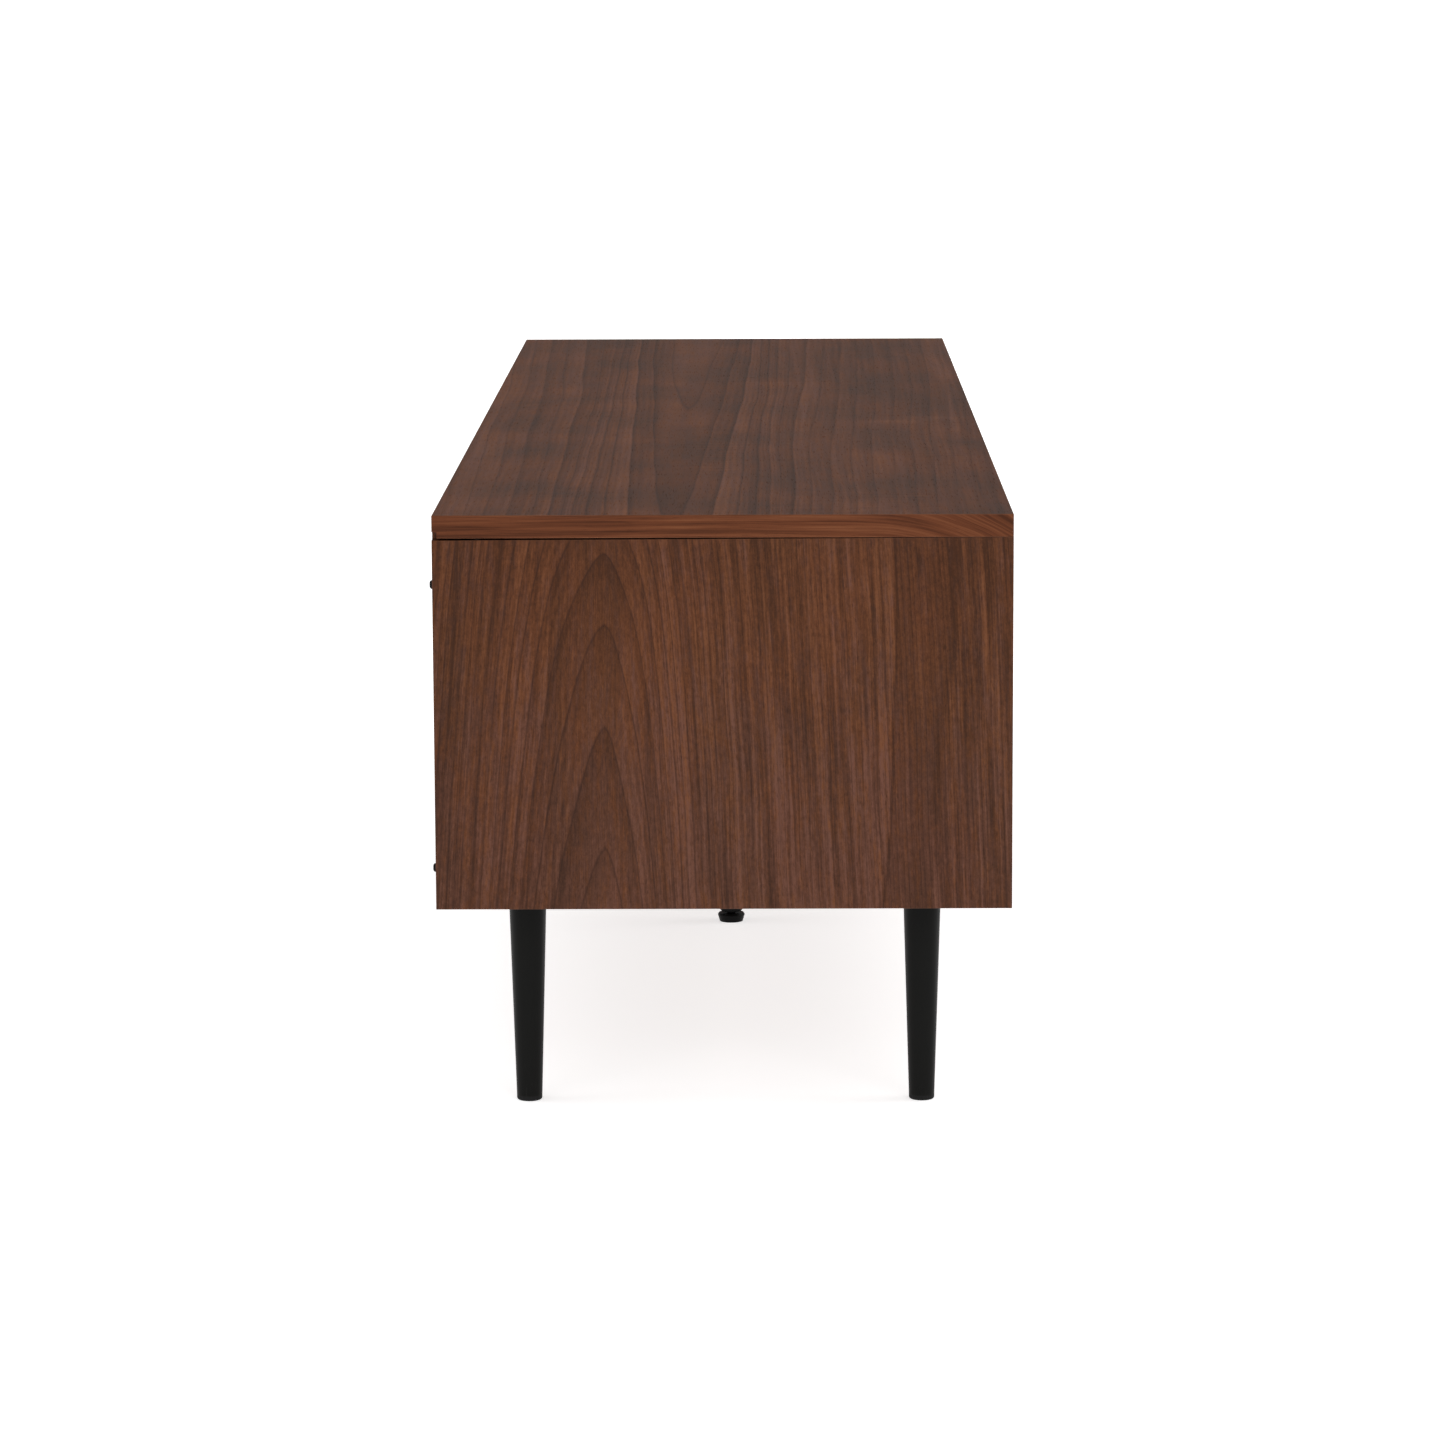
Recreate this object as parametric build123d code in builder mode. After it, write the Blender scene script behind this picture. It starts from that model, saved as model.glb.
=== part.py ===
"""A low sideboard on four turned legs: a three-bay carcass with a hinged door in each outer bay,
two drawers in the middle bay and an adjustable support foot under the middle of the floor.

X runs along the length, the fronts face -Y and Z is up. The origin is on the floor, under the
middle of the carcass. All sizes are in millimetres.
"""

from build123d import *
import os

os.makedirs("parts", exist_ok=True)

# ---------------------------------------------------------------- driving dimensions

length = 1600.0
depth = 450.0
height = 480.0
leg_height = 170.0
board = 18.0
back_board = 4.0
edge_round = 0.8
fitting_round = 1.5
front_gap = 2.5
front_recess = 1.0

# Seam under the top: it closes from the rear to the front, where the top bears on the end panel.
seam_rear = 1.6
seam_front = 0.1

# The back lies flush in a rebate around the rear of the carcass.
rebate_width = 9.0
rebate_in_top = 5.0
back_clearance = 0.5
end_screw_zs = (201.0, 424.5)
divider_screw_zs = (255.0, 425.0)
floor_screw_xs = (-650.0, -400.0, -140.0, 140.0, 400.0, 650.0)

# Sliding and turning fits
running_clearance = 0.05
hole_clearance = 0.1

# ---------------------------------------------------------------- carcass planes

half_length = length / 2
front_y = -depth / 2
rear_y = depth / 2
back_y = rear_y - back_board
floor_top = leg_height + board
floor_mid = leg_height + board / 2
under_top = height - board
inner_x = half_length - board
end_mid_x = half_length - board / 2

bay_width = (2 * inner_x - 2 * board) / 3
divider_in_x = bay_width / 2
divider_out_x = divider_in_x + board
divider_x = divider_in_x + board / 2

# Doors and drawer fronts sit inside the openings.
panel_front_y = front_y + front_recess
panel_rear_y = panel_front_y + board
panel_low_z = floor_top + front_gap
panel_high_z = under_top - front_gap
door_hinge_x = inner_x - front_gap
door_free_x = divider_out_x + front_gap
drawer_half_width = divider_in_x - front_gap
drawer_front_height = (panel_high_z - panel_low_z - front_gap) / 2

sides = ((-1, "left"), (1, "right"))

# ---------------------------------------------------------------- fittings between the boards

dowel_radius = 3.95
dowel_length = 30.0
dowel_in_face = 12.0
bolt_in_face = 11.0
bolt_reach = 34.0
bolt_thread_radius = 2.5
bolt_shank_radius = 3.2
bolt_bore_radius = 4.0
bolt_neck_radius = 1.8
bolt_head_radius = 3.2
cam_radius = 7.4
cam_depth = 12.5
fitting_y = 100.0
floor_fitting_y = 80.0
dowel_ys = (-190.0, -50.0, 50.0, 190.0)

# ---------------------------------------------------------------- shelves

shelf_thickness = 16.0
shelf_under_z = 317.0
shelf_front_y = -190.0
shelf_rear_y = 218.0
shelf_side_gap = 1.0
shelf_pin_radius = 2.45
shelf_pin_inside = 8.0
shelf_pin_outside = 6.5
shelf_pin_ys = (-130.0, 175.0)
shelf_hole_step = 32.0
shelf_hole_count = 5
shelf_hole_depth = 9.0

# ---------------------------------------------------------------- doors and hinges

pivot_from_edge = 19.0
pivot_x = door_hinge_x - pivot_from_edge
pivot_y = panel_front_y + 9.2
cup_centre_x = door_hinge_x - 22.5
cup_radius = 17.4
cup_wall = 1.0
cup_depth = 12.9
cup_flange = 1.5
cup_flange_lip = 0.6
cup_ear_height = 62.0
cup_ear_width = 14.0
cup_screw_z = 24.0
hinge_zs = (240.5, 409.5)
hinge_pin_radius = 1.5
hinge_pin_half = 15.7
hinge_eye_radius = 2.8
hinge_arm_half = 7.0
# Corners of the blocks that make up a hinge arm, each as (inward, rearward) from the pivot
hinge_arm_sections = (
    ((-18.4, 24.0), (-10.0, 68.0)),
    ((-18.4, 22.0), (15.4, 27.0)),
    ((12.4, -1.5), (15.4, 27.0)),
    ((0.0, -1.5), (15.4, 1.5)),
)
plate_thickness = 3.0
plate_body_half = 9.0
plate_wing_half = 6.0
plate_wing_reach = 22.0
plate_front = 34.0
plate_rear = 70.0
plate_mid_y = pivot_y + (plate_front + plate_rear) / 2
plate_screw_z = 16.0

knob_z = 325.0
knob_from_free_edge = 32.0
knob_hole_radius = 2.1
knob_screw_radius = 1.95
knob_screw_reach = 9.0

catch_from_free_edge = 45.0
catch_width = 38.0
catch_depth = 14.0
catch_height = 13.0
catch_pole_half = 7.0
catch_pole_thickness = 1.5
catch_pole_depth = 0.8
catch_pole_drops = (9.5, 5.0)
strike_thickness = 1.2
strike_gap = 0.2
strike_height = 10.0
strike_low_z = 448.5
strike_stub_radius = 2.0
strike_stub_length = 6.0
strike_round = 2.0

# ---------------------------------------------------------------- drawers and their rails

rail_total = 12.7
rail_length = 400.0
rail_sheet = 1.2
rail_front_y = panel_rear_y + 2.0
rail_rear_y = rail_front_y + rail_length
outer_rail_reach = 9.0
middle_rail_start = 2.5
middle_rail_reach = 10.5
inner_rail_start = 5.0
outer_rail_half = 22.5
middle_rail_half = 20.7
inner_rail_half = 17.7
rail_screw_ys = (-180.0, -20.0, 135.0)

drawer_side = 12.0
drawer_box_height = 95.0
drawer_box_depth = 400.0
drawer_box_half = divider_in_x - rail_total
drawer_box_rear_y = panel_rear_y + drawer_box_depth
drawer_bottom = 5.0
drawer_bottom_up = 10.0
drawer_groove = 6.0
drawer_levels = (("lower", panel_low_z), ("upper", panel_low_z + drawer_front_height + front_gap))
drawer_box_up = 9.5
front_screw_x = 180.0
front_screw_up = 30.0
front_screw_down = 20.0

# ---------------------------------------------------------------- screws

# Each is (reach under the head, shank radius, head radius, head height).
back_screw_size = (16.0, 1.7, 3.5, 2.7)
plate_screw_size = (14.5, 2.0, 4.0, 2.4)
hinge_screw_size = (14.0, 1.7, 3.4, 1.8)
rail_screw_size = (11.0, 1.6, 3.0, 1.1)
catch_screw_size = (22.0, 1.6, 3.2, 1.8)
front_screw_size = (25.0, 1.7, 3.5, 2.2)
box_screw_size = (10.0, 1.6, 3.0, 1.1)
door_knob_screw_size = (board + knob_screw_reach, knob_screw_radius, 4.2, 2.2)
drawer_knob_screw_size = (board + drawer_side + knob_screw_reach, knob_screw_radius, 4.2, 2.2)

# ---------------------------------------------------------------- legs and support foot

leg_x = 723.0
leg_y = 157.0
leg_top_radius = 15.0
leg_floor_radius = 10.2
leg_plate_size = 60.0
leg_plate_thickness = 2.5
leg_plate_corner = 6.0
leg_plate_hole_radius = 2.0 + hole_clearance
leg_plate_screw = 22.0
stud_radius = 3.95
stud_top_z = leg_height + 10.0
stud_pocket_radius = 6.0
stud_pocket_depth = 12.0
glide_height = 4.0
glide_round = 2.0
glide_pin_radius = 2.5
glide_pin_length = 10.0

support_radius = 14.0
support_bore_radius = 12.0
support_cone_top_z = 14.6
support_cone_low_z = 9.6
support_cone_low_radius = 9.0
support_cap = 8.0
foot_base_radius = 10.8
foot_rim_radius = 12.7
foot_top_radius = 11.6
foot_rim_z = 6.4
foot_top_z = 8.0
foot_rim_round = 1.2
foot_stem_top_z = 40.0
insert_top_z = 34.0

leg_places = {
    "leg_front_left": (-leg_x, -leg_y),
    "leg_front_right": (leg_x, -leg_y),
    "leg_rear_left": (-leg_x, leg_y),
    "leg_rear_right": (leg_x, leg_y),
}
plate_places = list(leg_places.values()) + [(0.0, 0.0)]

# ---------------------------------------------------------------- helpers


def block(corner, opposite, mode=Mode.ADD):
    """Add or cut the box between two opposite corners."""
    with Locations(tuple((a + b) / 2 for a, b in zip(corner, opposite))):
        Box(*(abs(b - a) for a, b in zip(corner, opposite)), mode=mode)


def rod(start, direction, reach, radius, mode=Mode.ADD):
    """Add or cut a round rod that runs from a point in a direction."""
    with Locations(Plane(start, z_dir=direction)):
        Cylinder(radius, reach, align=(Align.CENTER, Align.CENTER, Align.MIN), mode=mode)


def place(piece, seats):
    """Add a copy of a piece at each seat, a point and the way that the piece's +Z points."""
    for point, direction in seats:
        with Locations(Plane(point, z_dir=direction)):
            add(piece)


def save(builder, name):
    """Label a finished piece and write it to its STEP file."""
    builder.part.label = name
    export_step(builder.part, f"parts/{name}.step")


def screw(reach, radius, head_radius, head_height):
    """A screw with a domed, cross-slotted head that stands on the XY plane, point downwards."""
    tip = 2 * radius
    slot = 0.3 * head_radius
    with BuildPart() as made:
        rod((0, 0, 0), (0, 0, 1), head_height, head_radius)
        fillet(made.faces().sort_by(Axis.Z)[-1].edges(), 0.7 * head_height)
        rod((0, 0, 0), (0, 0, -1), reach - tip, radius)
        with Locations((0, 0, tip / 2 - reach)):
            Cone(0.1 * radius, radius, tip)
        with Locations((0, 0, head_height)):
            Box(1.1 * head_radius, slot, head_height, mode=Mode.SUBTRACT)
            Box(slot, 1.1 * head_radius, head_height, mode=Mode.SUBTRACT)
    return made.part


back_screw = screw(*back_screw_size)
plate_screw = screw(*plate_screw_size)
hinge_screw = screw(*hinge_screw_size)
rail_screw = screw(*rail_screw_size)
catch_screw = screw(*catch_screw_size)
front_screw = screw(*front_screw_size)
box_screw = screw(*box_screw_size)
door_knob_screw = screw(*door_knob_screw_size)
drawer_knob_screw = screw(*drawer_knob_screw_size)

# ---------------------------------------------------------------- seats of the fittings

# A cam fitting is a point on the joint, the way from the bolt's board into the cam's board,
# and the way out of the face that the cam is set in.
cam_fittings = []
# A dowel is the same point and way, and stands dowel_in_face deep in the first board.
dowel_seats = []
for side, _ in sides:
    for y in (-fitting_y, fitting_y):
        cam_fittings.append(((side * end_mid_x, y, under_top), (0, 0, -1), (-side, 0, 0)))
        cam_fittings.append(((side * divider_x, y, under_top), (0, 0, -1), (side, 0, 0)))
        cam_fittings.append(((side * divider_x, y, floor_top), (0, 0, 1), (side, 0, 0)))
    for y in (-floor_fitting_y, floor_fitting_y):
        cam_fittings.append(((side * inner_x, y, floor_mid), (-side, 0, 0), (0, 0, -1)))
    for y in dowel_ys:
        dowel_seats.append(((side * end_mid_x, y, under_top), (0, 0, -1)))
        dowel_seats.append(((side * divider_x, y, under_top), (0, 0, -1)))
        dowel_seats.append(((side * divider_x, y, floor_top), (0, 0, 1)))
        dowel_seats.append(((side * inner_x, y, floor_mid), (-side, 0, 0)))


def along(point, direction, distance):
    """The point a distance away in a direction."""
    return tuple(Vector(*point) + Vector(*direction) * distance)


cam_seats = []
for point, inward, outward in cam_fittings:
    centre = along(point, inward, bolt_reach)
    cam_seats.append((along(centre, outward, board / 2), outward, inward))

back_screw_seats = []
for side, _ in sides:
    for z in end_screw_zs:
        back_screw_seats.append(((side * (inner_x + rebate_width / 2), rear_y, z), (0, 1, 0)))
    for z in divider_screw_zs:
        back_screw_seats.append(((side * divider_x, rear_y, z), (0, 1, 0)))
for x in floor_screw_xs:
    back_screw_seats.append(((x, rear_y, floor_mid), (0, 1, 0)))

plate_screw_seats = []
for x, y in plate_places:
    for dx in (-leg_plate_screw, leg_plate_screw):
        for dy in (-leg_plate_screw, leg_plate_screw):
            seat = (x + dx, y + dy, leg_height - leg_plate_thickness)
            plate_screw_seats.append((seat, (0, 0, -1)))

shelf_pin_seats = []
spare_hole_seats = []
for side, _ in sides:
    for x, facing in ((side * inner_x, -side), (side * divider_out_x, side)):
        for y in shelf_pin_ys:
            shelf_pin_seats.append(((x, y, shelf_under_z - shelf_pin_radius), (facing, 0, 0)))
            for step in range(shelf_hole_count):
                offset = (step - (shelf_hole_count - 1) / 2) * shelf_hole_step
                hole = (x, y, shelf_under_z - shelf_pin_radius + offset)
                spare_hole_seats.append((hole, (facing, 0, 0)))

hinge_screw_seats = []
outer_rail_screw_seats = []
catch_screw_seats = []
for side, _ in sides:
    for hinge_z in hinge_zs:
        for dz in (-plate_screw_z, plate_screw_z):
            seat = (side * (inner_x - plate_thickness), plate_mid_y, hinge_z + dz)
            hinge_screw_seats.append((seat, (-side, 0, 0)))
    for _, low_z in drawer_levels:
        rail_z = low_z + drawer_box_up + drawer_box_height / 2
        for y in rail_screw_ys:
            seat = (side * (divider_in_x - rail_sheet), y, rail_z)
            outer_rail_screw_seats.append((seat, (-side, 0, 0)))
    for dx in (-catch_width / 3, catch_width / 3):
        catch_x = side * (door_free_x + catch_from_free_edge) + dx
        catch_y = panel_rear_y + strike_thickness + strike_gap + catch_depth / 2
        catch_screw_seats.append(((catch_x, catch_y, under_top - catch_height), (0, 0, -1)))


def drill(seats, screw_size, mode=Mode.ADD):
    """Add or cut the holes for screws of one size whose heads point along their seats."""
    reach, radius = screw_size[:2]
    for point, outward in seats:
        into = tuple(-d for d in outward)
        rod(point, into, reach + hole_clearance, radius + hole_clearance, mode)


# Every hole in the carcass boards, as one cutting tool. No hole reaches a board that it
# doesn't belong to.
with BuildPart() as carcass_holes:
    for point, inward, outward in cam_fittings:
        back_way = tuple(-d for d in inward)
        rod(point, back_way, bolt_in_face + hole_clearance, bolt_thread_radius + hole_clearance)
        rod(point, inward, bolt_reach, bolt_bore_radius)
    for mouth, outward, _ in cam_seats:
        into = tuple(-d for d in outward)
        rod(mouth, into, cam_depth + 2 * hole_clearance, cam_radius + hole_clearance)
    for point, inward in dowel_seats:
        deep = along(point, inward, -dowel_in_face - hole_clearance)
        rod(deep, inward, dowel_length + 2 * hole_clearance, dowel_radius + hole_clearance)
    drill(spare_hole_seats, (shelf_hole_depth, shelf_pin_radius))
    drill(back_screw_seats, back_screw_size)
    drill(plate_screw_seats, plate_screw_size)
    drill(hinge_screw_seats, hinge_screw_size)
    drill(outer_rail_screw_seats, rail_screw_size)
    drill(catch_screw_seats, catch_screw_size)
    for x, y in plate_places:
        rod((x, y, leg_height), (0, 0, 1), stud_pocket_depth, stud_pocket_radius)

# ---------------------------------------------------------------- carcass boards

with BuildPart() as top_panel:
    block((-half_length, front_y, under_top), (half_length, rear_y, height))
    fillet(top_panel.edges(), edge_round)
    block(
        (-half_length, back_y, under_top),
        (half_length, rear_y, under_top + rebate_in_top),
        mode=Mode.SUBTRACT,
    )
    add(carcass_holes.part, mode=Mode.SUBTRACT)
save(top_panel, "top_panel")

for side, name in sides:
    with BuildPart() as end_panel:
        with BuildSketch(Plane.YZ.offset(side * end_mid_x)):
            with BuildLine():
                Polyline(
                    (front_y, leg_height),
                    (rear_y, leg_height),
                    (rear_y, under_top - seam_rear),
                    (front_y, under_top - seam_front),
                    close=True,
                )
            make_face()
        extrude(amount=board / 2, both=True)
        outer_face = end_panel.faces().sort_by(Axis.X)[0 if side < 0 else -1]
        fillet(outer_face.edges(), edge_round / 2)
        block(
            (side * inner_x, back_y, leg_height),
            (side * (inner_x + rebate_width), rear_y, under_top),
            mode=Mode.SUBTRACT,
        )
        add(carcass_holes.part, mode=Mode.SUBTRACT)
    save(end_panel, f"end_panel_{name}")

with BuildPart() as bottom_panel:
    block((-inner_x, front_y, leg_height), (inner_x, back_y, floor_top))
    fillet(bottom_panel.faces().sort_by(Axis.Y)[0].edges().filter_by(Axis.X), edge_round / 2)
    add(carcass_holes.part, mode=Mode.SUBTRACT)
save(bottom_panel, "bottom_panel")

for side, name in sides:
    with BuildPart() as divider:
        block((side * divider_in_x, front_y, floor_top), (side * divider_out_x, back_y, under_top))
        fillet(divider.faces().sort_by(Axis.Y)[0].edges().filter_by(Axis.Z), edge_round / 2)
        add(carcass_holes.part, mode=Mode.SUBTRACT)
    save(divider, f"divider_{name}")

with BuildPart() as back_panel:
    half_back = inner_x + rebate_width - back_clearance
    block(
        (-half_back, back_y, leg_height + back_clearance),
        (half_back, rear_y, under_top + rebate_in_top - back_clearance),
    )
    add(carcass_holes.part, mode=Mode.SUBTRACT)
save(back_panel, "back_panel")

with BuildPart() as back_panel_screws:
    place(back_screw, back_screw_seats)
save(back_panel_screws, "back_panel_screws")

# ---------------------------------------------------------------- board fittings

with BuildPart() as wood_dowels:
    for point, inward in dowel_seats:
        rod(along(point, inward, -dowel_in_face), inward, dowel_length, dowel_radius)
save(wood_dowels, "wood_dowels")

# A bolt has a thread, a shank, and a neck that ends in a ball inside the cam.
bolt_neck_z = bolt_reach - cam_radius - 1.0
ball_low_z = bolt_reach - (bolt_head_radius**2 - bolt_neck_radius**2) ** 0.5
ball_top_z = bolt_reach + bolt_head_radius
with BuildPart() as cam_bolt_shape:
    with BuildSketch(Plane.XZ):
        with BuildLine():
            Polyline(
                (0, ball_top_z),
                (0, -bolt_in_face),
                (bolt_thread_radius, -bolt_in_face),
                (bolt_thread_radius, 0),
                (bolt_shank_radius, 0),
                (bolt_shank_radius, bolt_neck_z),
                (bolt_neck_radius, bolt_neck_z),
                (bolt_neck_radius, ball_low_z),
            )
            ThreePointArc(
                (bolt_neck_radius, ball_low_z), (bolt_head_radius, bolt_reach), (0, ball_top_z)
            )
        make_face()
    revolve(axis=Axis.Z)

with BuildPart() as cam_bolts:
    place(cam_bolt_shape.part, [(point, inward) for point, inward, _ in cam_fittings])
save(cam_bolts, "cam_bolts")

# Each cam is a disc with a slot that the bolt's head enters, and a cross for the driver.
with BuildPart() as cam_locks:
    slot_half = bolt_head_radius + hole_clearance
    for mouth, outward, inward in cam_seats:
        with Locations(Plane(mouth, x_dir=inward, z_dir=outward)):
            with Locations((0, 0, -cam_depth / 2)):
                Cylinder(cam_radius, cam_depth)
            with Locations((-cam_radius / 2, 0, -cam_depth)):
                Box(
                    cam_radius + 2 * slot_half,
                    2 * slot_half,
                    2 * (cam_depth - board / 2 + slot_half),
                    mode=Mode.SUBTRACT,
                )
            with Locations((0, 0, 0)):
                Box(cam_radius, 1.4, 3.0, mode=Mode.SUBTRACT)
                Box(1.4, cam_radius, 3.0, mode=Mode.SUBTRACT)
save(cam_locks, "cam_locks")

# ---------------------------------------------------------------- shelves

for side, name in sides:
    with BuildPart() as shelf:
        block(
            (side * (inner_x - shelf_side_gap), shelf_front_y, shelf_under_z),
            (
                side * (divider_out_x + shelf_side_gap),
                shelf_rear_y,
                shelf_under_z + shelf_thickness,
            ),
        )
        fillet(shelf.edges().filter_by(Axis.X), edge_round)
    save(shelf, f"shelf_{name}")

with BuildPart() as shelf_pins:
    for point, outward in shelf_pin_seats:
        inner_end = along(point, outward, -shelf_pin_inside)
        rod(inner_end, outward, shelf_pin_inside + shelf_pin_outside, shelf_pin_radius)
    fillet(shelf_pins.edges().filter_by(GeomType.CIRCLE), 0.4)
save(shelf_pins, "shelf_pins")

# ---------------------------------------------------------------- legs

with BuildPart() as leg_shape:
    plate_low_z = leg_height - leg_plate_thickness
    with BuildSketch(Plane.XZ):
        with BuildLine():
            Polyline(
                (glide_pin_radius + hole_clearance, glide_height),
                (leg_floor_radius, glide_height),
                (leg_top_radius, plate_low_z),
                (stud_radius, plate_low_z),
                (stud_radius, stud_top_z),
                (0, stud_top_z),
                (0, glide_height + glide_pin_length + hole_clearance),
                (
                    glide_pin_radius + hole_clearance,
                    glide_height + glide_pin_length + hole_clearance,
                ),
                close=True,
            )
        make_face()
    revolve(axis=Axis.Z)

for name, (x, y) in leg_places.items():
    with BuildPart() as leg:
        with Locations((x, y, 0)):
            add(leg_shape.part)
    save(leg, name)

with BuildPart() as leg_glides:
    for x, y in leg_places.values():
        rod((x, y, 0), (0, 0, 1), glide_height, leg_floor_radius)
    floor_rims = leg_glides.edges().filter_by(GeomType.CIRCLE).group_by(Axis.Z)[0]
    fillet(floor_rims, glide_round)
    for x, y in leg_places.values():
        rod((x, y, glide_height), (0, 0, 1), glide_pin_length, glide_pin_radius)
save(leg_glides, "leg_glides")

with BuildPart() as leg_mounting_plates:
    for x, y in plate_places:
        with BuildSketch(Plane.XY.offset(plate_low_z)):
            with Locations((x, y)):
                RectangleRounded(leg_plate_size, leg_plate_size, leg_plate_corner)
                with GridLocations(2 * leg_plate_screw, 2 * leg_plate_screw, 2, 2):
                    Circle(leg_plate_hole_radius, mode=Mode.SUBTRACT)
                Circle(stud_radius + hole_clearance, mode=Mode.SUBTRACT)
        extrude(amount=leg_plate_thickness)
save(leg_mounting_plates, "leg_mounting_plates")

with BuildPart() as leg_plate_screws:
    place(plate_screw, plate_screw_seats)
save(leg_plate_screws, "leg_plate_screws")

# ---------------------------------------------------------------- support foot

# A closed tube with a stud at its top; the insert in its lower end has the thread of the foot.
with BuildPart() as centre_support_leg:
    with BuildSketch(Plane.XZ):
        with BuildLine():
            Polyline(
                (support_bore_radius, support_cone_top_z),
                (support_radius, support_cone_top_z),
                (support_radius, plate_low_z),
                (stud_radius, plate_low_z),
                (stud_radius, stud_top_z),
                (0, stud_top_z),
                (0, plate_low_z - support_cap),
                (support_bore_radius, plate_low_z - support_cap),
                close=True,
            )
        make_face()
    revolve(axis=Axis.Z)
save(centre_support_leg, "centre_support_leg")

with BuildPart() as levelling_insert:
    bore = stud_radius + running_clearance
    with BuildSketch(Plane.XZ):
        with BuildLine():
            Polyline(
                (bore, support_cone_low_z),
                (support_cone_low_radius, support_cone_low_z),
                (support_radius, support_cone_top_z),
                (support_bore_radius - hole_clearance, support_cone_top_z),
                (support_bore_radius - hole_clearance, insert_top_z),
                (bore, insert_top_z),
                close=True,
            )
        make_face()
    revolve(axis=Axis.Z)
save(levelling_insert, "levelling_insert")

with BuildPart() as levelling_foot:
    with BuildSketch(Plane.XZ):
        with BuildLine():
            Polyline(
                (0, 0),
                (foot_base_radius, 0),
                (foot_rim_radius, foot_rim_z),
                (foot_top_radius, foot_top_z),
                (stud_radius, foot_top_z),
                (stud_radius, foot_stem_top_z),
                (0, foot_stem_top_z),
                close=True,
            )
        make_face()
    revolve(axis=Axis.Z)
    rim = levelling_foot.edges().filter_by(GeomType.CIRCLE).group_by(SortBy.RADIUS)[-1]
    fillet(rim, foot_rim_round)
save(levelling_foot, "levelling_foot")

# ---------------------------------------------------------------- hinges on the end panels


def hinge_point(side, inward, rearward, z):
    """A point given from the hinge's pivot: towards the bay, and towards the rear."""
    return (side * (pivot_x - inward), pivot_y + rearward, z)


with BuildPart() as hinge_mounting_plates:
    for side, _ in sides:
        for hinge_z in hinge_zs:
            panel_face = pivot_x - inner_x
            plate_face = panel_face + plate_thickness
            block(
                hinge_point(side, panel_face, plate_front, hinge_z - plate_body_half),
                hinge_point(side, plate_face, plate_rear, hinge_z + plate_body_half),
            )
            middle = (plate_front + plate_rear) / 2
            wing_front = middle - plate_wing_half
            wing_rear = middle + plate_wing_half
            block(
                hinge_point(side, panel_face, wing_front, hinge_z - plate_wing_reach),
                hinge_point(side, plate_face, wing_rear, hinge_z + plate_wing_reach),
            )
    fillet(hinge_mounting_plates.edges().filter_by(Axis.X), fitting_round)
    drill(hinge_screw_seats, hinge_screw_size, Mode.SUBTRACT)
save(hinge_mounting_plates, "hinge_mounting_plates")

# Each arm goes from its base, round the open door's edge, to an eye on the pin in the cup.
with BuildPart() as hinge_arms:
    for side, _ in sides:
        for hinge_z in hinge_zs:
            for near, far in hinge_arm_sections:
                block(
                    hinge_point(side, *near, hinge_z - hinge_arm_half),
                    hinge_point(side, *far, hinge_z + hinge_arm_half),
                )
            eye = hinge_point(side, 0.0, 0.0, hinge_z - hinge_arm_half)
            rod(eye, (0, 0, 1), 2 * hinge_arm_half, hinge_eye_radius)
            rod(
                eye,
                (0, 0, 1),
                2 * hinge_arm_half,
                hinge_pin_radius + running_clearance,
                mode=Mode.SUBTRACT,
            )
save(hinge_arms, "hinge_arms")

# ---------------------------------------------------------------- catches and carcass screws

with BuildPart() as magnetic_catches:
    catch_front_y = panel_rear_y + strike_thickness + strike_gap
    for side, _ in sides:
        catch_x = side * (door_free_x + catch_from_free_edge)
        block(
            (catch_x - catch_width / 2, catch_front_y, under_top - catch_height),
            (catch_x + catch_width / 2, catch_front_y + catch_depth, under_top),
        )
    fillet(magnetic_catches.edges().filter_by(Axis.Z), fitting_round)
    for side, _ in sides:
        catch_x = side * (door_free_x + catch_from_free_edge)
        for drop in catch_pole_drops:
            pole_z = under_top - drop
            pole_rear_y = catch_front_y + catch_pole_depth
            block(
                (catch_x - catch_pole_half, catch_front_y, pole_z),
                (catch_x + catch_pole_half, pole_rear_y, pole_z + catch_pole_thickness),
                mode=Mode.SUBTRACT,
            )
    drill(catch_screw_seats, catch_screw_size, Mode.SUBTRACT)
save(magnetic_catches, "magnetic_catches")

with BuildPart() as hardware_screws:
    place(hinge_screw, hinge_screw_seats)
    place(rail_screw, outer_rail_screw_seats)
    place(catch_screw, catch_screw_seats)
save(hardware_screws, "hardware_screws")

# ---------------------------------------------------------------- knobs

with BuildPart() as knob_shape:
    with BuildSketch(Plane.XZ):
        with BuildLine():
            Line((0, 0), (6.5, 0))
            Line((6.5, 0), (6.5, 1.2))
            ThreePointArc((6.5, 1.2), (4.6, 5.5), (6.8, 9.6))
            Line((6.8, 9.6), (10.0, 12.6))
            Spline((10.0, 12.6), (9.7, 15.4), (6.5, 17.2), (0, 18.0), tangents=[(0, 1), (-1, 0)])
            Line((0, 18.0), (0, 0))
        make_face()
    revolve(axis=Axis.Z)
    rod((0, 0, 0), (0, 0, 1), knob_screw_reach + hole_clearance, knob_hole_radius, Mode.SUBTRACT)

forwards = (0, -1, 0)
rearwards = (0, 1, 0)

# ---------------------------------------------------------------- doors

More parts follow.
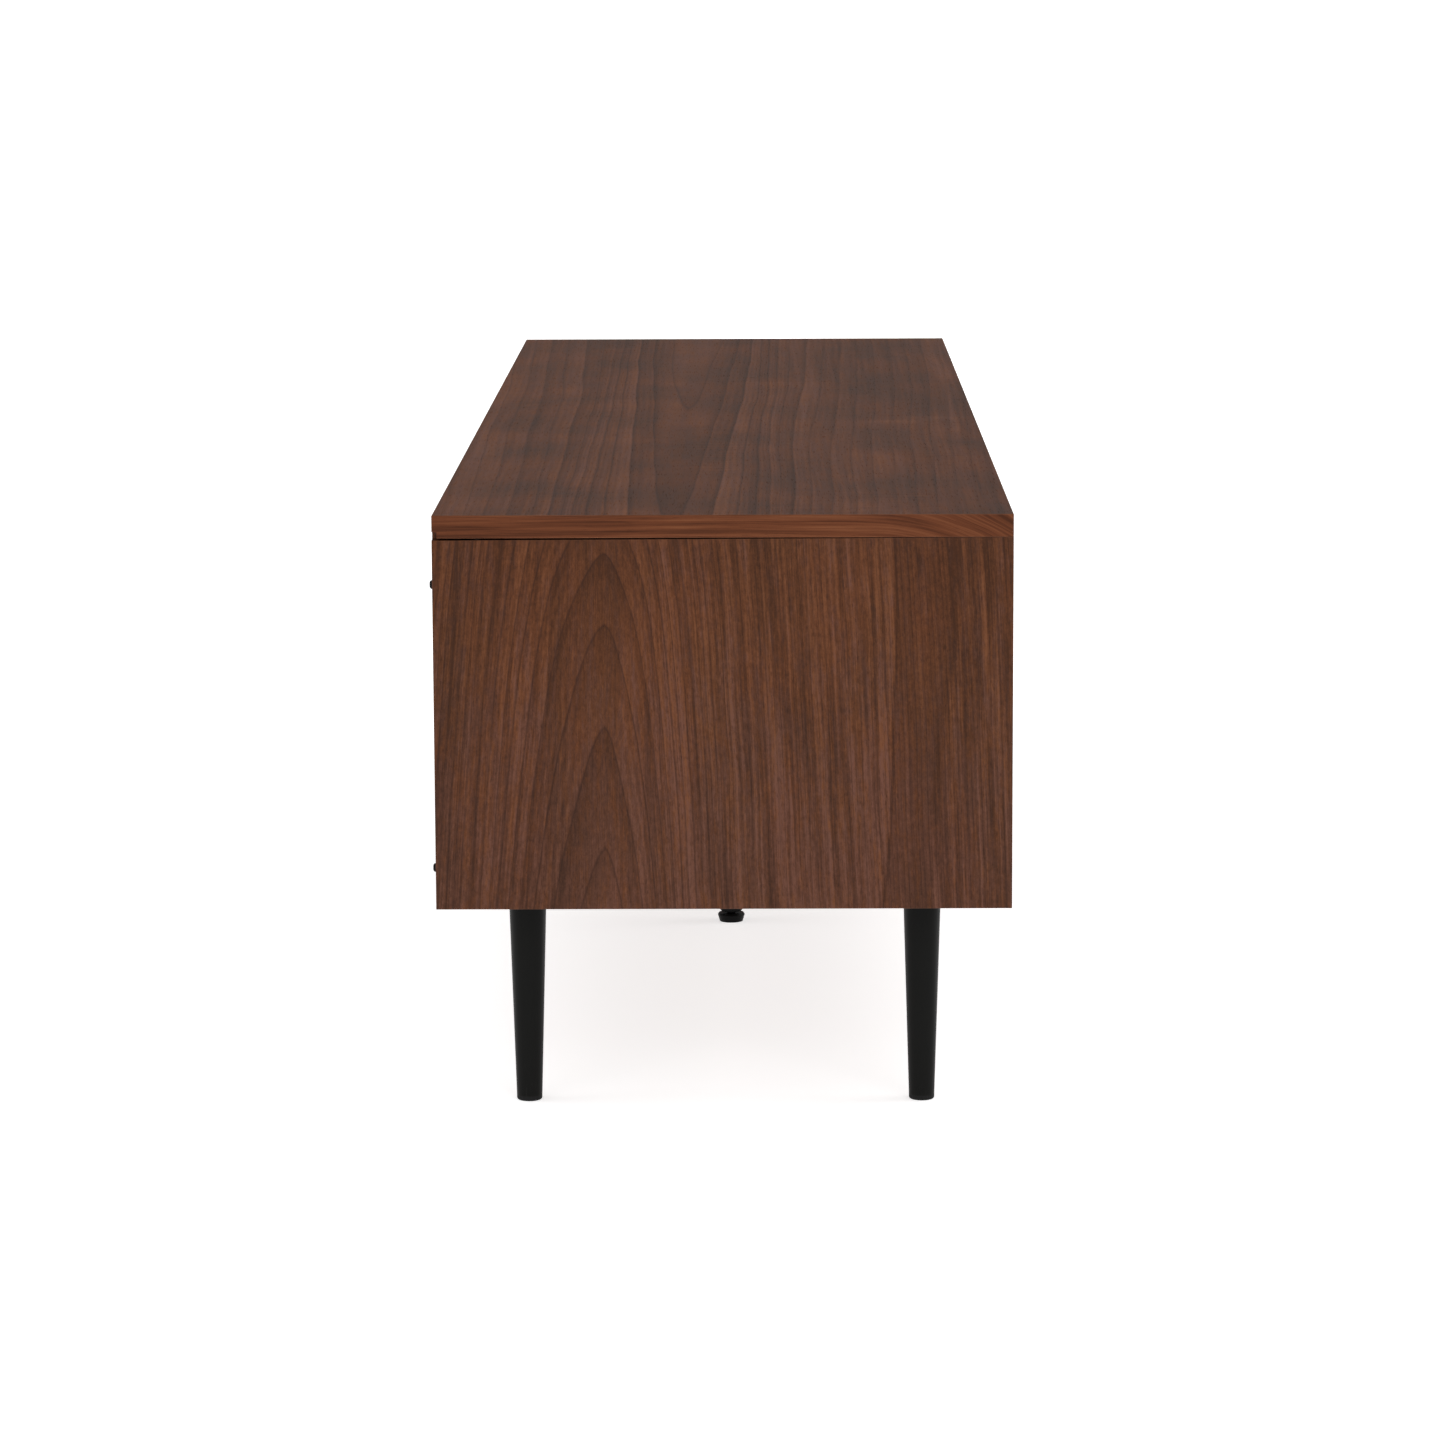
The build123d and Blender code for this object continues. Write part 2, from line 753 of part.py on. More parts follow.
for side, name in sides:
    door_free = side * door_free_x
    door_hinge = side * door_hinge_x
    knob_x = side * (door_free_x + knob_from_free_edge)
    catch_x = side * (door_free_x + catch_from_free_edge)
    cup_x = side * cup_centre_x
    cup_screw_seats = []
    for hinge_z in hinge_zs:
        for dz in (-cup_screw_z, cup_screw_z):
            seat = (cup_x, panel_rear_y + cup_flange, hinge_z + dz)
            cup_screw_seats.append((seat, rearwards))

    with BuildPart() as door_panel:
        block((door_hinge, panel_front_y, panel_low_z), (door_free, panel_rear_y, panel_high_z))
        fillet(door_panel.edges(), edge_round / 2)
        for hinge_z in hinge_zs:
            mouth = (cup_x, panel_rear_y, hinge_z)
            bore_depth = cup_depth + hole_clearance
            rod(mouth, forwards, bore_depth, cup_radius + hole_clearance, Mode.SUBTRACT)
        drill(cup_screw_seats, hinge_screw_size, Mode.SUBTRACT)
        rod((knob_x, panel_rear_y, knob_z), forwards, board, knob_hole_radius, Mode.SUBTRACT)
        stub_start = (catch_x, panel_rear_y, strike_low_z + strike_height / 2)
        stub_reach = strike_stub_length + hole_clearance
        rod(stub_start, forwards, stub_reach, strike_stub_radius + hole_clearance, Mode.SUBTRACT)
    save(door_panel, f"door_{name}_panel")

    with BuildPart() as hinge_cups:
        for hinge_z in hinge_zs:
            with BuildSketch(Plane.XZ.offset(-panel_rear_y)):
                with Locations((cup_x, hinge_z)):
                    Circle(cup_radius + cup_flange_lip)
                    SlotOverall(cup_ear_height, cup_ear_width, rotation=90)
            extrude(amount=-cup_flange)
            rod((cup_x, panel_rear_y, hinge_z), forwards, cup_depth, cup_radius)
            rod(
                (cup_x, panel_rear_y + cup_flange, hinge_z),
                forwards,
                cup_flange + cup_depth - cup_wall,
                cup_radius - cup_wall,
                Mode.SUBTRACT,
            )
        drill(cup_screw_seats, hinge_screw_size, Mode.SUBTRACT)
    save(hinge_cups, f"door_{name}_hinge_cups")

    with BuildPart() as hinge_pins:
        for hinge_z in hinge_zs:
            pin_low = hinge_point(side, 0.0, 0.0, hinge_z - hinge_pin_half)
            rod(pin_low, (0, 0, 1), 2 * hinge_pin_half, hinge_pin_radius)
    save(hinge_pins, f"door_{name}_hinge_pins")

    with BuildPart() as cup_screws:
        place(hinge_screw, cup_screw_seats)
    save(cup_screws, f"door_{name}_cup_screws")

    with BuildPart() as knob:
        place(knob_shape.part, [((knob_x, panel_front_y, knob_z), forwards)])
    save(knob, f"door_{name}_knob")

    with BuildPart() as knob_screw:
        place(door_knob_screw, [((knob_x, panel_rear_y, knob_z), rearwards)])
    save(knob_screw, f"door_{name}_knob_screw")

    with BuildPart() as strike_plate:
        block(
            (catch_x - catch_width / 2, panel_rear_y, strike_low_z),
            (
                catch_x + catch_width / 2,
                panel_rear_y + strike_thickness,
                strike_low_z + strike_height,
            ),
        )
        fillet(strike_plate.edges().filter_by(Axis.Y), strike_round)
        rod(stub_start, forwards, strike_stub_length, strike_stub_radius)
    save(strike_plate, f"door_{name}_strike_plate")

# ---------------------------------------------------------------- rails


def channel(side, wall_x, open_x, half_height, rail_z):
    """Add a channel of sheet with its web at wall_x and its flanges reaching to open_x."""
    web_inside = wall_x + rail_sheet * (1 if open_x > wall_x else -1)
    block(
        (side * wall_x, rail_front_y, rail_z - half_height),
        (side * open_x, rail_rear_y, rail_z + half_height),
    )
    block(
        (side * web_inside, rail_front_y, rail_z - half_height + rail_sheet),
        (side * open_x, rail_rear_y, rail_z + half_height - rail_sheet),
        mode=Mode.SUBTRACT,
    )


outer_web_x = divider_in_x
outer_open_x = divider_in_x - outer_rail_reach
middle_web_x = divider_in_x - middle_rail_start
middle_open_x = divider_in_x - middle_rail_reach
inner_web_x = divider_in_x - rail_total
inner_open_x = divider_in_x - inner_rail_start

for level, low_z in drawer_levels:
    rail_z = low_z + drawer_box_up + drawer_box_height / 2

    with BuildPart() as rails_outer:
        for side, _ in sides:
            channel(side, outer_web_x, outer_open_x, outer_rail_half, rail_z)
        drill(outer_rail_screw_seats, rail_screw_size, Mode.SUBTRACT)
    save(rails_outer, f"drawer_{level}_rails_outer")

    with BuildPart() as rails_middle:
        for side, _ in sides:
            channel(side, middle_web_x, middle_open_x, middle_rail_half, rail_z)
    save(rails_middle, f"drawer_{level}_rails_middle")

    # ------------------------------------------------------------ drawer on these rails

    box_low_z = low_z + drawer_box_up
    box_high_z = box_low_z + drawer_box_height
    knob_seat_z = low_z + drawer_front_height / 2
    inside_x = drawer_box_half - drawer_side
    end_wall_y = panel_rear_y + drawer_side
    bottom_z = box_low_z + drawer_bottom_up

    inner_rail_screw_seats = []
    for side, _ in sides:
        for y in rail_screw_ys:
            seat = (side * (inner_web_x + rail_sheet), y, rail_z)
            inner_rail_screw_seats.append((seat, (side, 0, 0)))
    front_screw_seats = []
    for x in (-front_screw_x, front_screw_x):
        for z in (box_low_z + front_screw_up, box_high_z - front_screw_down):
            front_screw_seats.append(((x, end_wall_y, z), rearwards))
    knob_screw_seat = (0, end_wall_y, knob_seat_z)

    with BuildPart() as drawer_holes:
        drill(inner_rail_screw_seats, box_screw_size)
        drill(front_screw_seats, front_screw_size)
        rod(knob_screw_seat, forwards, board + drawer_side, knob_hole_radius)

    with BuildPart() as bottom_groove:
        block(
            (
                -inside_x - drawer_groove - hole_clearance,
                end_wall_y - drawer_groove - hole_clearance,
                bottom_z - hole_clearance,
            ),
            (
                inside_x + drawer_groove + hole_clearance,
                drawer_box_rear_y - drawer_side + drawer_groove + hole_clearance,
                bottom_z + drawer_bottom + hole_clearance,
            ),
        )

    with BuildPart() as rails_inner:
        for side, _ in sides:
            channel(side, inner_web_x, inner_open_x, inner_rail_half, rail_z)
        add(drawer_holes.part, mode=Mode.SUBTRACT)
    save(rails_inner, f"drawer_{level}_rails_inner")

    with BuildPart() as drawer_front:
        block(
            (-drawer_half_width, panel_front_y, low_z),
            (drawer_half_width, panel_rear_y, low_z + drawer_front_height),
        )
        fillet(drawer_front.edges(), edge_round / 2)
        add(drawer_holes.part, mode=Mode.SUBTRACT)
    save(drawer_front, f"drawer_{level}_front")

    with BuildPart() as box_sides:
        for side, _ in sides:
            block(
                (side * inside_x, panel_rear_y, box_low_z),
                (side * drawer_box_half, drawer_box_rear_y, box_high_z),
            )
        fillet(box_sides.faces().group_by(Axis.Z)[-1].edges().filter_by(Axis.Y), fitting_round)
        add(bottom_groove.part, mode=Mode.SUBTRACT)
        add(drawer_holes.part, mode=Mode.SUBTRACT)
    save(box_sides, f"drawer_{level}_box_sides")

    with BuildPart() as box_ends:
        for y in (panel_rear_y, drawer_box_rear_y - drawer_side):
            block((-inside_x, y, box_low_z), (inside_x, y + drawer_side, box_high_z))
        fillet(box_ends.faces().group_by(Axis.Z)[-1].edges().filter_by(Axis.X), fitting_round)
        add(bottom_groove.part, mode=Mode.SUBTRACT)
        add(drawer_holes.part, mode=Mode.SUBTRACT)
    save(box_ends, f"drawer_{level}_box_ends")

    with BuildPart() as box_bottom:
        block(
            (-inside_x - drawer_groove, end_wall_y - drawer_groove, bottom_z),
            (
                inside_x + drawer_groove,
                drawer_box_rear_y - drawer_side + drawer_groove,
                bottom_z + drawer_bottom,
            ),
        )
    save(box_bottom, f"drawer_{level}_box_bottom")

    with BuildPart() as drawer_knob:
        place(knob_shape.part, [((0, panel_front_y, knob_seat_z), forwards)])
    save(drawer_knob, f"drawer_{level}_knob")

    with BuildPart() as drawer_screws:
        place(box_screw, inner_rail_screw_seats)
        place(front_screw, front_screw_seats)
        place(drawer_knob_screw, [(knob_screw_seat, rearwards)])
    save(drawer_screws, f"drawer_{level}_screws")
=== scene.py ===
"""Looks for the low walnut sideboard: procedural veneer, paint, plastic and plated steel on the
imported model, a pale floor, soft studio light and the camera at the sideboard's left end."""

import bpy
import math
from mathutils import Matrix, Vector

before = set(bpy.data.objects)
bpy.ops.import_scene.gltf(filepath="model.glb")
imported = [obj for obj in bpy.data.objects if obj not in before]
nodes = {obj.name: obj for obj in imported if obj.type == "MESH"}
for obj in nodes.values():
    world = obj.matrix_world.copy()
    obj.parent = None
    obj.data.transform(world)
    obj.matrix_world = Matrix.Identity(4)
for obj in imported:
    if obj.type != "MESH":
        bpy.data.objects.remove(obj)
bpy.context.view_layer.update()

MM = 1000.0  # object coordinates are metres; patterns are laid out in millimetres
X, Y, Z = 0, 1, 2

# A rounded edge is told from a flat face by a cosine, which is 1 on the face. It starts at the
# first two values, on boards and on metal, and is fully an edge at the third.
BOARD_FLAT = 0.99
METAL_FLAT = 0.995
ROUND = 0.90

# ---------------------------------------------------------------- shader helpers


class Graph:
    """A material's node tree, with one short method for each kind of node used here."""

    def __init__(self, name):
        self.material = bpy.data.materials.new(name)
        self.material.use_nodes = True
        self.tree = self.material.node_tree
        self.tree.nodes.clear()
        self.shader = self.tree.nodes.new("ShaderNodeBsdfPrincipled")
        output = self.tree.nodes.new("ShaderNodeOutputMaterial")
        self.tree.links.new(self.shader.outputs[0], output.inputs[0])
        self.place = self.tree.nodes.new("ShaderNodeTexCoord")

    def feed(self, socket, value):
        """Links a socket's source, or sets a plain value."""
        if isinstance(value, bpy.types.NodeSocket):
            self.tree.links.new(value, socket)
        else:
            socket.default_value = value

    def math(self, operation, a, b=0.0, c=0.0):
        node = self.tree.nodes.new("ShaderNodeMath")
        node.operation = operation
        for socket, value in zip(node.inputs, (a, b, c)):
            self.feed(socket, value)
        return node.outputs[0]

    def add(self, a, b):
        return self.math("ADD", a, b)

    def subtract(self, a, b):
        return self.math("SUBTRACT", a, b)

    def multiply(self, a, b):
        return self.math("MULTIPLY", a, b)

    def scaled(self, value, factor, offset=0.0):
        return self.math("MULTIPLY_ADD", value, factor, offset)

    def limit(self, value, low=0.0, high=1.0):
        node = self.tree.nodes.new("ShaderNodeClamp")
        self.feed(node.inputs["Value"], value)
        node.inputs["Min"].default_value = low
        node.inputs["Max"].default_value = high
        return node.outputs[0]

    def remap(self, value, low, high, to_low=0.0, to_high=1.0, smooth=True, clamp=True):
        node = self.tree.nodes.new("ShaderNodeMapRange")
        node.interpolation_type = "SMOOTHSTEP" if smooth else "LINEAR"
        node.clamp = clamp
        self.feed(node.inputs["Value"], value)
        node.inputs["From Min"].default_value = low
        node.inputs["From Max"].default_value = high
        node.inputs["To Min"].default_value = to_low
        node.inputs["To Max"].default_value = to_high
        return node.outputs[0]

    def bell(self, value, centre, width):
        """1 at the centre, falling smoothly to 0 a few widths away."""
        away = self.math("DIVIDE", self.subtract(value, centre), width)
        return self.math("EXPONENT", self.scaled(self.multiply(away, away), -1.0))

    def vector(self, x, y, z):
        node = self.tree.nodes.new("ShaderNodeCombineXYZ")
        for socket, value in zip(node.inputs, (x, y, z)):
            self.feed(socket, value)
        return node.outputs[0]

    def split(self, vector):
        node = self.tree.nodes.new("ShaderNodeSeparateXYZ")
        self.feed(node.inputs[0], vector)
        return node.outputs[0], node.outputs[1], node.outputs[2]

    def noise(self, sizes, at, detail=2.0, roughness=0.5, shift=0.0):
        """Noise from 0 to 1 whose lumps have these sizes along the three values of at."""
        parts = [self.scaled(value, 1.0 / size, shift) for value, size in zip(at, sizes)]
        node = self.tree.nodes.new("ShaderNodeTexNoise")
        self.feed(node.inputs["Vector"], self.vector(*parts))
        node.inputs["Scale"].default_value = 1.0
        node.inputs["Detail"].default_value = detail
        node.inputs["Roughness"].default_value = roughness
        return node.outputs[0]

    def noise_line(self, value, detail=1.0):
        """Noise from 0 to 1 along one value."""
        node = self.tree.nodes.new("ShaderNodeTexNoise")
        node.noise_dimensions = "1D"
        self.feed(node.inputs["W"], value)
        node.inputs["Scale"].default_value = 1.0
        node.inputs["Detail"].default_value = detail
        return node.outputs[0]

    def chance(self, value):
        """A random number from 0 to 1 for each whole value."""
        node = self.tree.nodes.new("ShaderNodeTexWhiteNoise")
        node.noise_dimensions = "1D"
        self.feed(node.inputs["W"], value)
        return node.outputs[0]

    def curve(self, value, stops):
        """A grey value read from (position, value) stops."""
        node = self.tree.nodes.new("ShaderNodeValToRGB")
        ramp = node.color_ramp
        ramp.interpolation = "EASE"
        while len(ramp.elements) < len(stops):
            ramp.elements.new(0.5)
        for element, (position, grey) in zip(ramp.elements, stops):
            element.position = position
            element.color = (grey, grey, grey, 1.0)
        self.feed(node.inputs[0], value)
        return node.outputs[0]

    def profile(self, value, points):
        """A smooth curve through (value, result) points, carried on straight at both ends."""
        first, last = points[0][0], points[-1][0]
        low = min(result for _, result in points)
        high = max(result for _, result in points)
        node = self.tree.nodes.new("ShaderNodeFloatCurve")
        mapping = node.mapping
        mapping.extend = "EXTRAPOLATED"
        mapping.use_clip = False
        line = mapping.curves[0]
        while len(line.points) < len(points):
            line.points.new(0.5, 0.5)
        for point, (place, result) in zip(line.points, points):
            point.location = ((place - first) / (last - first), (result - low) / (high - low))
        mapping.update()
        self.feed(node.inputs["Value"], self.remap(value, first, last, smooth=False, clamp=False))
        return self.scaled(node.outputs[0], high - low, low)

    def mix(self, factor, a, b, blend="MIX"):
        node = self.tree.nodes.new("ShaderNodeMix")
        node.data_type = "RGBA"
        node.blend_type = blend
        self.feed(node.inputs["Factor"], factor)
        for socket, value in ((node.inputs["A"], a), (node.inputs["B"], b)):
            self.feed(socket, value if isinstance(value, bpy.types.NodeSocket) else (*value, 1.0))
        return node.outputs["Result"]

    def worn_edges(self, radius):
        """1 on rounded edges, 0 on flat faces."""
        bevel = self.tree.nodes.new("ShaderNodeBevel")
        bevel.samples = 4
        bevel.inputs["Radius"].default_value = radius
        geometry = self.tree.nodes.new("ShaderNodeNewGeometry")
        product = self.tree.nodes.new("ShaderNodeVectorMath")
        product.operation = "DOT_PRODUCT"
        self.feed(product.inputs[0], bevel.outputs[0])
        self.feed(product.inputs[1], geometry.outputs["Normal"])
        return self.remap(product.outputs["Value"], METAL_FLAT, ROUND)

    def rounded_edges(self):
        """1 where a board's rounded edge faces between two of the axes."""
        facing = self.split(self.place.outputs["Normal"])
        x, y, z = (self.math("ABSOLUTE", value) for value in facing)
        most = self.math("MAXIMUM", self.math("MAXIMUM", x, y), z)
        return self.remap(most, BOARD_FLAT, ROUND)

    def bump(self, height, distance, strength=1.0):
        node = self.tree.nodes.new("ShaderNodeBump")
        node.inputs["Strength"].default_value = strength
        node.inputs["Distance"].default_value = distance
        self.feed(node.inputs["Height"], height)
        self.feed(self.shader.inputs["Normal"], node.outputs[0])

    def finish(self, color, roughness, metallic=0.0, ior=1.45):
        self.feed(self.shader.inputs["Base Color"], color)
        self.feed(self.shader.inputs["Roughness"], roughness)
        self.shader.inputs["Metallic"].default_value = metallic
        self.shader.inputs["IOR"].default_value = ior
        return self.material


def srgb(red, green, blue):
    """Linear colour of an 8-bit screen colour."""
    def linear(value):
        value /= 255.0
        return value / 12.92 if value <= 0.04045 else ((value + 0.055) / 1.055) ** 2.4
    return linear(red), linear(green), linear(blue)


# ---------------------------------------------------------------- walnut

WALNUT_LIGHT = srgb(103, 64, 45)
WALNUT_MIDDLE = srgb(83, 48, 30)
WALNUT_DARK = srgb(60, 33, 18)
WALNUT_LINE = srgb(42, 23, 15)
# pale colour of the rounded edges: partly wear, partly a painted highlight along the arris
WALNUT_WEAR_AND_HIGHLIGHT = srgb(122, 84, 66)
GOLDEN = (1.07, 0.99, 0.76)
ROSY = (0.93, 0.99, 1.22)
GREY = (0.92, 1.03, 1.06)
LIPPING_LIGHT = srgb(114, 69, 45)
LIPPING_MIDDLE = srgb(96, 54, 34)
LIPPING_DARK = srgb(69, 38, 24)


# Height that the rings climb at each distance from the crown's line, mm. Cut across a cone they
# make pointed arches; far from the cone's axis, or along it, they make plain stripes.
CATHEDRAL = ((0.0, 0.0), (4.0, 4.0), (8.0, 11.0), (16.0, 32.0), (27.0, 66.0), (38.0, 104.0),
             (50.0, 155.0), (65.0, 240.0), (85.0, 400.0), (110.0, 680.0), (150.0, 1220.0),
             (250.0, 2620.0))
STRAIGHT = ((0.0, 0.0), (10.0, 130.0), (25.0, 700.0), (50.0, 1900.0), (64.0, 2800.0),
            (92.0, 5400.0), (142.0, 8100.0), (250.0, 13900.0))


MOST_ARCHES = 10.0      # more than any crown has; it keeps their numbers under 1 in a curve node
FIRST_YEAR = 40.0       # keeps every year's number above 0
DRIFT_PER_YEAR = 0.43   # how fast the years' widths change from one to the next
LINE_WIDTH = 0.85       # of the dark line between two years, mm
FINE_LINES = 3          # faint lines in each year
FULL_TURN = 6.2832

# Features of the walnut: their size across the grain, along it and through the board in mm, how
# much finer detail they have and how rough it is, and a shift that keeps them apart
FEATURES = {
    "fibre": ((1.2, 20.0, 1.2), 2.0, 0.65, 3.1),
    "stripe": ((4.0, 170.0, 4.0), 3.0, 0.65, 1.7),
    "band": ((26.0, 420.0, 26.0), 2.0, 0.5, 5.9),
    "cloud": ((80.0, 150.0, 80.0), 3.0, 0.5, 9.4),
    "mottle": ((3.4, 5.0, 3.4), 4.0, 0.85, 6.6),
    "pore": ((0.9, 6.0, 0.9), 1.0, 0.5, 2.2),
    "ripple": ((60.0, 7.0, 60.0), 2.0, 0.6, 12.0),
    "ripple_patch": ((90.0, 200.0, 90.0), 2.0, 0.5, 0.0),
    "warm_band": ((7.0, 60.0, 7.0), 2.0, 0.6, 8.2),
    "warm_fleck": ((1.8, 8.0, 1.8), 1.0, 0.5, 4.4),
    "rubbed_and_highlit": ((30.0, 30.0, 30.0), 3.0, 0.6, 15.0),
    "lipping_waves": ((120.0, 30.0, 30.0), 2.0, 0.5, 0.0),
    "lipping_band": ((170.0, 6.0, 6.0), 2.0, 0.5, 4.0),
    "lipping_stripe": ((110.0, 1.7, 1.7), 3.0, 0.65, 7.0),
    "lipping_fleck": ((11.0, 0.7, 0.7), 2.0, 0.6, 6.0),
}

# How far each feature swings the tone, which runs from 0, dark, to 1, light
MIDDLE_TONE = 0.50
STRIPE_SWING = 1.45
FIBRE_SWING = 0.85
BAND_SWING = 0.60
MOTTLE_SWING = 1.35
LIPPING_TONE = 0.42
LIPPING_BAND_SWING = 1.6
LIPPING_STRIPE_SWING = 2.0

# How strongly the dark lines, pores and the edges' wear and painted highlight cover the colour
LINE_COVER = 0.42
PORE_COVER = 0.34
FLECK_COVER = 0.30
WEAR_AND_HIGHLIGHT_COVER = 0.40

SLOW_WANDER = (150.0, 330.0, 150.0)
QUICK_WANDER = (45.0, 120.0, 45.0)
FIBRE_LEAN = 0.055      # how far the fibres beside a crown lean towards it
LEAN_WITHIN = 45.0      # distance from the crown's line where they lean fully, mm
WALNUT_SATIN = 0.44     # roughness
WALNUT_RELIEF = 0.00006


class Crown:
    """How a walnut veneer is cut: its growth rings are nested cones round a line that lies
    beneath the face, so they show as arches over that line and as straight lines beside it."""

    def __init__(self, across, along, depth, middle=0.0, arches=(170.0, 262.0, 348.0, 430.0),
                 flank=CATHEDRAL, lean=(1.0, 1.37), wander=4.0, uneven=1.2, seed=0.0,
                 rings=1.0, grain=1.0, stretch=1.0, blotches=0.45, ripple=0.0, hue=0.0,
                 depth_from=0.0):
        self.across = across            # index of the axis across the grain
        self.along = along              # index of the axis along the grain
        self.depth = depth              # index of the axis through the board
        self.middle = middle            # place of the crown's line across the grain, mm
        self.arches = arches            # places of the arches' tops along the grain, mm
        self.flank = flank              # shape of one arch
        self.lean = lean                # how fast each side of the crown falls away
        self.wander = wander            # how far the lines wander, mm
        self.uneven = uneven            # how unequal the years are
        self.seed = seed                # which piece of wood
        self.rings = rings              # contrast of the rings
        self.grain = grain              # contrast of the stripes and fibres
        self.stretch = stretch          # how much longer than usual the stripes are
        self.blotches = blotches        # contrast of the large soft patches
        self.ripple = ripple            # contrast of the ripple across the grain
        self.hue = hue                  # share of grey in the colour
        self.depth_from = depth_from    # place of the face along the depth axis, mm


def centred(g, value, gain):
    """Noise from 0 to 1 turned into a swing round 0."""
    return g.scaled(value, gain, -gain / 2)


def feature(g, name, at, seed):
    """One of the walnut's features, as noise from 0 to 1."""
    sizes, detail, roughness, shift = FEATURES[name]
    return g.noise(sizes, at, detail, roughness, seed + shift)


def three_tones(g, tone, dark, middle, light):
    """The colour of a tone from 0 to 1."""
    color = g.mix(g.limit(g.scaled(tone, 2.0)), dark, middle)
    return g.mix(g.limit(g.scaled(tone, 2.0, -1.0)), color, light)


def ring_pattern(g, crown, u, along, depth):
    """The growth rings: a soft swing in tone, and thin dark lines where one year ends."""
    even = (crown.lean[1] + crown.lean[0]) / 2
    uneven = (crown.lean[1] - crown.lean[0]) / 2
    spread = g.add(g.scaled(u, even), g.scaled(g.math("ABSOLUTE", u), -uneven))
    radius = g.math("SQRT", g.add(g.multiply(spread, spread), g.multiply(depth, depth)))
    spacing = abs(crown.arches[-1] - crown.arches[0]) / (len(crown.arches) - 1)
    steps = sorted((place, index / MOST_ARCHES) for index, place in enumerate(crown.arches))
    phase = g.add(g.scaled(g.profile(radius, crown.flank), 1.0 / spacing),
                  g.scaled(g.profile(along, steps), MOST_ARCHES, FIRST_YEAR + crown.seed))
    side = g.remap(radius, 30.0, 90.0)
    drift = g.scaled(g.noise_line(g.scaled(phase, DRIFT_PER_YEAR)), crown.uneven)
    phase = g.add(phase, g.multiply(side, drift))
    year = g.math("FLOOR", phase)
    season = g.math("FRACT", phase)

    # Distance to the nearest line, from the slope of the arch there
    gaps = [
        ((near + far) / 2, spacing / math.hypot(1.0, (high - low) / (far - near)))
        for (near, low), (far, high) in zip(crown.flank, crown.flank[1:])
    ]
    first, last = gaps[0][0], gaps[-1][0]
    gap = g.profile(g.limit(radius, first, last), gaps)
    nearest = g.multiply(g.math("PINGPONG", phase, 0.5), gap)
    line = g.bell(nearest, 0.0, LINE_WIDTH)
    late = g.curve(season, ((0.0, 0.48), (0.05, 0.63), (0.50, 0.56), (0.82, 0.43), (1.0, 0.32)))
    turns = g.add(phase, g.scaled(g.chance(year), 0.4))
    fine = g.math("SINE", g.scaled(turns, FULL_TURN * FINE_LINES))
    tint = g.scaled(g.chance(year), 0.26, -0.13)
    fade = g.remap(radius, 45.0, 170.0, 1.0, 0.55)
    away = g.remap(radius, 12.0, 34.0)
    swing = g.add(g.scaled(late, 1.0, -0.5), g.add(tint, g.scaled(g.multiply(fine, away), 0.09)))
    strength = g.scaled(fade, crown.rings)
    return g.multiply(swing, strength), g.multiply(line, strength)


def quietened(g, grain, across, along, edges):
    """The stripes, faded in a strip between two edges and darker or paler along them."""
    rear, front = (g.profile(along, edge) for edge in edges)
    from_rear = g.subtract(rear, across)
    from_front = g.subtract(across, front)
    inside = g.multiply(g.remap(from_rear, 0.0, 1.5), g.remap(from_front, -4.0, 6.0))
    grain = g.multiply(grain, g.scaled(inside, -0.62, 1.0))
    grain = g.subtract(grain, g.scaled(inside, 0.13))
    grain = g.subtract(grain, g.scaled(g.bell(from_rear, 0.8, 1.3), 0.42))
    grain = g.add(grain, g.scaled(g.bell(from_rear, -5.5, 4.0), 0.24))
    return g.subtract(grain, g.scaled(g.bell(from_front, 1.0, 4.0), 0.24))


